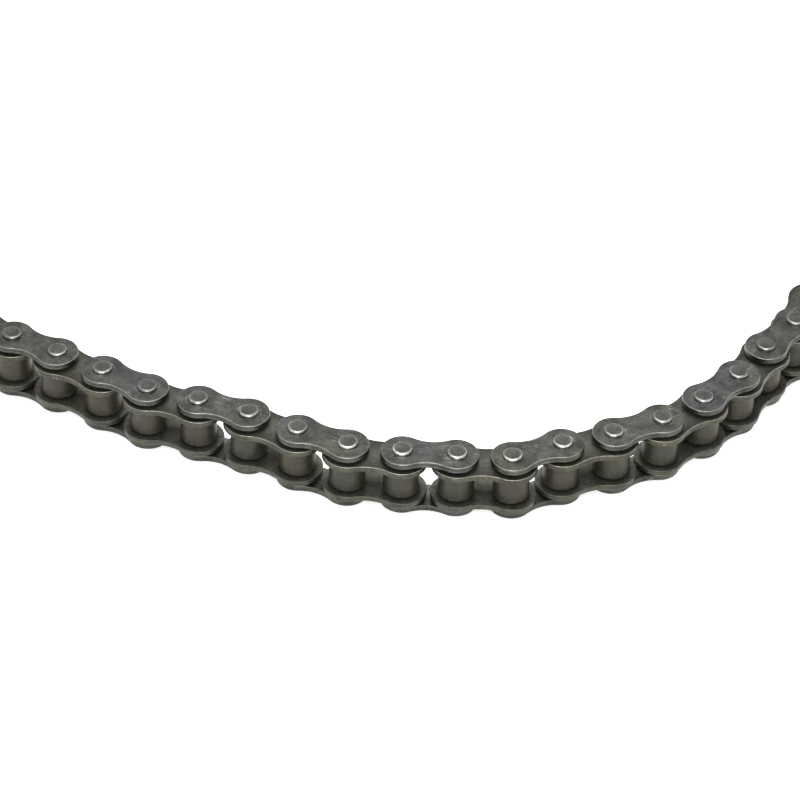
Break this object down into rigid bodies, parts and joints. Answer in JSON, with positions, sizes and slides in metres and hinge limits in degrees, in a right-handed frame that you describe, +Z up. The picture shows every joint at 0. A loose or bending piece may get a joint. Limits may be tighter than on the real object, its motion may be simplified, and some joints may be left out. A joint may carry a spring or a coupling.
{
  "type": "roller chain strand",
  "caption": "Open strand of motorcycle roller chain lying on its side, with hinged inner and outer links, riveted pins, bushes and free rollers.",
  "frame": {"origin": "on the surface that the strand lies on, under the middle of its outline", "axes": "+Z up along the pins, +X along the strand from its first link to its last"},
  "size_m": [0.2152, 0.076, 0.0167],
  "materials": {
    "inner_plate": "dark heat-treated steel, oiled, rubbed along the rim",
    "outer_plate": "dark heat-treated steel, scuffed, rubbed bright along the rim",
    "roller": "dark hardened steel with an olive-brown oil tint",
    "bush": "ground steel, oiled",
    "pin": "ground steel, bright at the end's edge with a dull grey end face"
  },
  "bodies": {
    "inner_link_01": {"inner_link_01_plates": "inner_plate", "inner_link_01_bushes": "bush"},
    "outer_link_01": {"outer_link_01_plates": "outer_plate", "outer_link_01_pins": "pin"},
    "inner_link_02": {"inner_link_02_plates": "inner_plate", "inner_link_02_bushes": "bush"},
    "outer_link_02": {"outer_link_02_plates": "outer_plate", "outer_link_02_pins": "pin"},
    "inner_link_03": {"inner_link_03_plates": "inner_plate", "inner_link_03_bushes": "bush"},
    "outer_link_03": {"outer_link_03_plates": "outer_plate", "outer_link_03_pins": "pin"},
    "inner_link_04": {"inner_link_04_plates": "inner_plate", "inner_link_04_bushes": "bush"},
    "outer_link_04": {"outer_link_04_plates": "outer_plate", "outer_link_04_pins": "pin"},
    "inner_link_05": {"inner_link_05_plates": "inner_plate", "inner_link_05_bushes": "bush"},
    "outer_link_05": {"outer_link_05_plates": "outer_plate", "outer_link_05_pins": "pin"},
    "inner_link_06": {"inner_link_06_plates": "inner_plate", "inner_link_06_bushes": "bush"},
    "outer_link_06": {"outer_link_06_plates": "outer_plate", "outer_link_06_pins": "pin"},
    "inner_link_07": {"inner_link_07_plates": "inner_plate", "inner_link_07_bushes": "bush"},
    "outer_link_07": {"outer_link_07_plates": "outer_plate", "outer_link_07_pins": "pin"},
    "inner_link_08": {"inner_link_08_plates": "inner_plate", "inner_link_08_bushes": "bush"},
    "outer_link_08": {"outer_link_08_plates": "outer_plate", "outer_link_08_pins": "pin"},
    "inner_link_09": {"inner_link_09_plates": "inner_plate", "inner_link_09_bushes": "bush"},
    "outer_link_09": {"outer_link_09_plates": "outer_plate", "outer_link_09_pins": "pin"},
    "inner_link_10": {"inner_link_10_plates": "inner_plate", "inner_link_10_bushes": "bush"},
    "roller_01": {"roller_01": "roller"},
    "roller_02": {"roller_02": "roller"},
    "roller_03": {"roller_03": "roller"},
    "roller_04": {"roller_04": "roller"},
    "roller_05": {"roller_05": "roller"},
    "roller_06": {"roller_06": "roller"},
    "roller_07": {"roller_07": "roller"},
    "roller_08": {"roller_08": "roller"},
    "roller_09": {"roller_09": "roller"},
    "roller_10": {"roller_10": "roller"},
    "roller_11": {"roller_11": "roller"},
    "roller_12": {"roller_12": "roller"},
    "roller_13": {"roller_13": "roller"},
    "roller_14": {"roller_14": "roller"},
    "roller_15": {"roller_15": "roller"},
    "roller_16": {"roller_16": "roller"},
    "roller_17": {"roller_17": "roller"},
    "roller_18": {"roller_18": "roller"},
    "roller_19": {"roller_19": "roller"},
    "roller_20": {"roller_20": "roller"}
  },
  "joints": [
    {"name": "pin_01_hinge", "type": "hinge", "parent": "inner_link_01", "child": "outer_link_01", "pos_m": [-0.09147, 0.00632, 0.00833], "axis": [0, 0, 1], "range_deg": [-100, 80]},
    {"name": "pin_02_hinge", "type": "hinge", "parent": "outer_link_01", "child": "inner_link_02", "pos_m": [-0.08016, 0.00056, 0.00833], "axis": [0, 0, -1], "range_deg": [-91, 89]},
    {"name": "pin_03_hinge", "type": "hinge", "parent": "inner_link_02", "child": "outer_link_02", "pos_m": [-0.06894, -0.0054, 0.00833], "axis": [0, 0, 1], "range_deg": [-89, 91]},
    {"name": "pin_04_hinge", "type": "hinge", "parent": "outer_link_02", "child": "inner_link_03", "pos_m": [-0.05783, -0.01156, 0.00833], "axis": [0, 0, -1], "range_deg": [-78, 102]},
    {"name": "pin_05_hinge", "type": "hinge", "parent": "inner_link_03", "child": "outer_link_03", "pos_m": [-0.04569, -0.01527, 0.00833], "axis": [0, 0, 1], "range_deg": [-88, 92]},
    {"name": "pin_06_hinge", "type": "hinge", "parent": "outer_link_03", "child": "inner_link_04", "pos_m": [-0.03368, -0.01941, 0.00833], "axis": [0, 0, -1], "range_deg": [-95, 85]},
    {"name": "pin_07_hinge", "type": "hinge", "parent": "inner_link_04", "child": "outer_link_04", "pos_m": [-0.02208, -0.02457, 0.00833], "axis": [0, 0, 1], "range_deg": [-92, 88]},
    {"name": "pin_08_hinge", "type": "hinge", "parent": "outer_link_04", "child": "inner_link_05", "pos_m": [-0.0103, -0.02933, 0.00833], "axis": [0, 0, -1], "range_deg": [-76, 104]},
    {"name": "pin_09_hinge", "type": "hinge", "parent": "inner_link_05", "child": "outer_link_05", "pos_m": [0.00227, -0.0311, 0.00833], "axis": [0, 0, 1], "range_deg": [-95, 85]},
    {"name": "pin_10_hinge", "type": "hinge", "parent": "outer_link_05", "child": "inner_link_06", "pos_m": [0.01495, -0.03176, 0.00833], "axis": [0, 0, -1], "range_deg": [-88, 92]},
    {"name": "pin_11_hinge", "type": "hinge", "parent": "inner_link_06", "child": "outer_link_06", "pos_m": [0.02765, -0.03198, 0.00833], "axis": [0, 0, 1], "range_deg": [-115, 65]},
    {"name": "pin_12_hinge", "type": "hinge", "parent": "outer_link_06", "child": "inner_link_07", "pos_m": [0.03925, -0.02682, 0.00833], "axis": [0, 0, -1], "range_deg": [-94, 86]},
    {"name": "pin_13_hinge", "type": "hinge", "parent": "inner_link_07", "child": "outer_link_07", "pos_m": [0.05119, -0.02248, 0.00833], "axis": [0, 0, 1], "range_deg": [-95, 85]},
    {"name": "pin_14_hinge", "type": "hinge", "parent": "outer_link_07", "child": "inner_link_08", "pos_m": [0.0627, -0.01711, 0.00833], "axis": [0, 0, -1], "range_deg": [-77, 103]},
    {"name": "pin_15_hinge", "type": "hinge", "parent": "inner_link_08", "child": "outer_link_08", "pos_m": [0.07271, -0.00929, 0.00833], "axis": [0, 0, 1], "range_deg": [-98, 82]},
    {"name": "pin_16_hinge", "type": "hinge", "parent": "outer_link_08", "child": "inner_link_09", "pos_m": [0.08153, -0.00015, 0.00833], "axis": [0, 0, -1], "range_deg": [-80, 100]},
    {"name": "pin_17_hinge", "type": "hinge", "parent": "inner_link_09", "child": "outer_link_09", "pos_m": [0.08863, 0.01038, 0.00833], "axis": [0, 0, 1], "range_deg": [-86, 94]},
    {"name": "pin_18_hinge", "type": "hinge", "parent": "outer_link_09", "child": "inner_link_10", "pos_m": [0.09645, 0.02038, 0.00833], "axis": [0, 0, -1], "range_deg": [-76, 104]},
    {"name": "roller_01_spin", "type": "hinge", "parent": "inner_link_01", "child": "roller_01", "pos_m": [-0.10161, 0.01397, 0.00833], "axis": [0, 0, 1], "continuous": true},
    {"name": "roller_02_spin", "type": "hinge", "parent": "inner_link_01", "child": "roller_02", "pos_m": [-0.09147, 0.00632, 0.00833], "axis": [0, 0, 1], "continuous": true},
    {"name": "roller_03_spin", "type": "hinge", "parent": "inner_link_02", "child": "roller_03", "pos_m": [-0.08016, 0.00056, 0.00833], "axis": [0, 0, 1], "continuous": true},
    {"name": "roller_04_spin", "type": "hinge", "parent": "inner_link_02", "child": "roller_04", "pos_m": [-0.06894, -0.0054, 0.00833], "axis": [0, 0, 1], "continuous": true},
    {"name": "roller_05_spin", "type": "hinge", "parent": "inner_link_03", "child": "roller_05", "pos_m": [-0.05783, -0.01156, 0.00833], "axis": [0, 0, 1], "continuous": true},
    {"name": "roller_06_spin", "type": "hinge", "parent": "inner_link_03", "child": "roller_06", "pos_m": [-0.04569, -0.01527, 0.00833], "axis": [0, 0, 1], "continuous": true},
    {"name": "roller_07_spin", "type": "hinge", "parent": "inner_link_04", "child": "roller_07", "pos_m": [-0.03368, -0.01941, 0.00833], "axis": [0, 0, 1], "continuous": true},
    {"name": "roller_08_spin", "type": "hinge", "parent": "inner_link_04", "child": "roller_08", "pos_m": [-0.02208, -0.02457, 0.00833], "axis": [0, 0, 1], "continuous": true},
    {"name": "roller_09_spin", "type": "hinge", "parent": "inner_link_05", "child": "roller_09", "pos_m": [-0.0103, -0.02933, 0.00833], "axis": [0, 0, 1], "continuous": true},
    {"name": "roller_10_spin", "type": "hinge", "parent": "inner_link_05", "child": "roller_10", "pos_m": [0.00227, -0.0311, 0.00833], "axis": [0, 0, 1], "continuous": true},
    {"name": "roller_11_spin", "type": "hinge", "parent": "inner_link_06", "child": "roller_11", "pos_m": [0.01495, -0.03176, 0.00833], "axis": [0, 0, 1], "continuous": true},
    {"name": "roller_12_spin", "type": "hinge", "parent": "inner_link_06", "child": "roller_12", "pos_m": [0.02765, -0.03198, 0.00833], "axis": [0, 0, 1], "continuous": true},
    {"name": "roller_13_spin", "type": "hinge", "parent": "inner_link_07", "child": "roller_13", "pos_m": [0.03925, -0.02682, 0.00833], "axis": [0, 0, 1], "continuous": true},
    {"name": "roller_14_spin", "type": "hinge", "parent": "inner_link_07", "child": "roller_14", "pos_m": [0.05119, -0.02248, 0.00833], "axis": [0, 0, 1], "continuous": true},
    {"name": "roller_15_spin", "type": "hinge", "parent": "inner_link_08", "child": "roller_15", "pos_m": [0.0627, -0.01711, 0.00833], "axis": [0, 0, 1], "continuous": true},
    {"name": "roller_16_spin", "type": "hinge", "parent": "inner_link_08", "child": "roller_16", "pos_m": [0.07271, -0.00929, 0.00833], "axis": [0, 0, 1], "continuous": true},
    {"name": "roller_17_spin", "type": "hinge", "parent": "inner_link_09", "child": "roller_17", "pos_m": [0.08153, -0.00015, 0.00833], "axis": [0, 0, 1], "continuous": true},
    {"name": "roller_18_spin", "type": "hinge", "parent": "inner_link_09", "child": "roller_18", "pos_m": [0.08863, 0.01038, 0.00833], "axis": [0, 0, 1], "continuous": true},
    {"name": "roller_19_spin", "type": "hinge", "parent": "inner_link_10", "child": "roller_19", "pos_m": [0.09645, 0.02038, 0.00833], "axis": [0, 0, 1], "continuous": true},
    {"name": "roller_20_spin", "type": "hinge", "parent": "inner_link_10", "child": "roller_20", "pos_m": [0.10161, 0.03198, 0.00833], "axis": [0, 0, 1], "continuous": true}
  ]
}
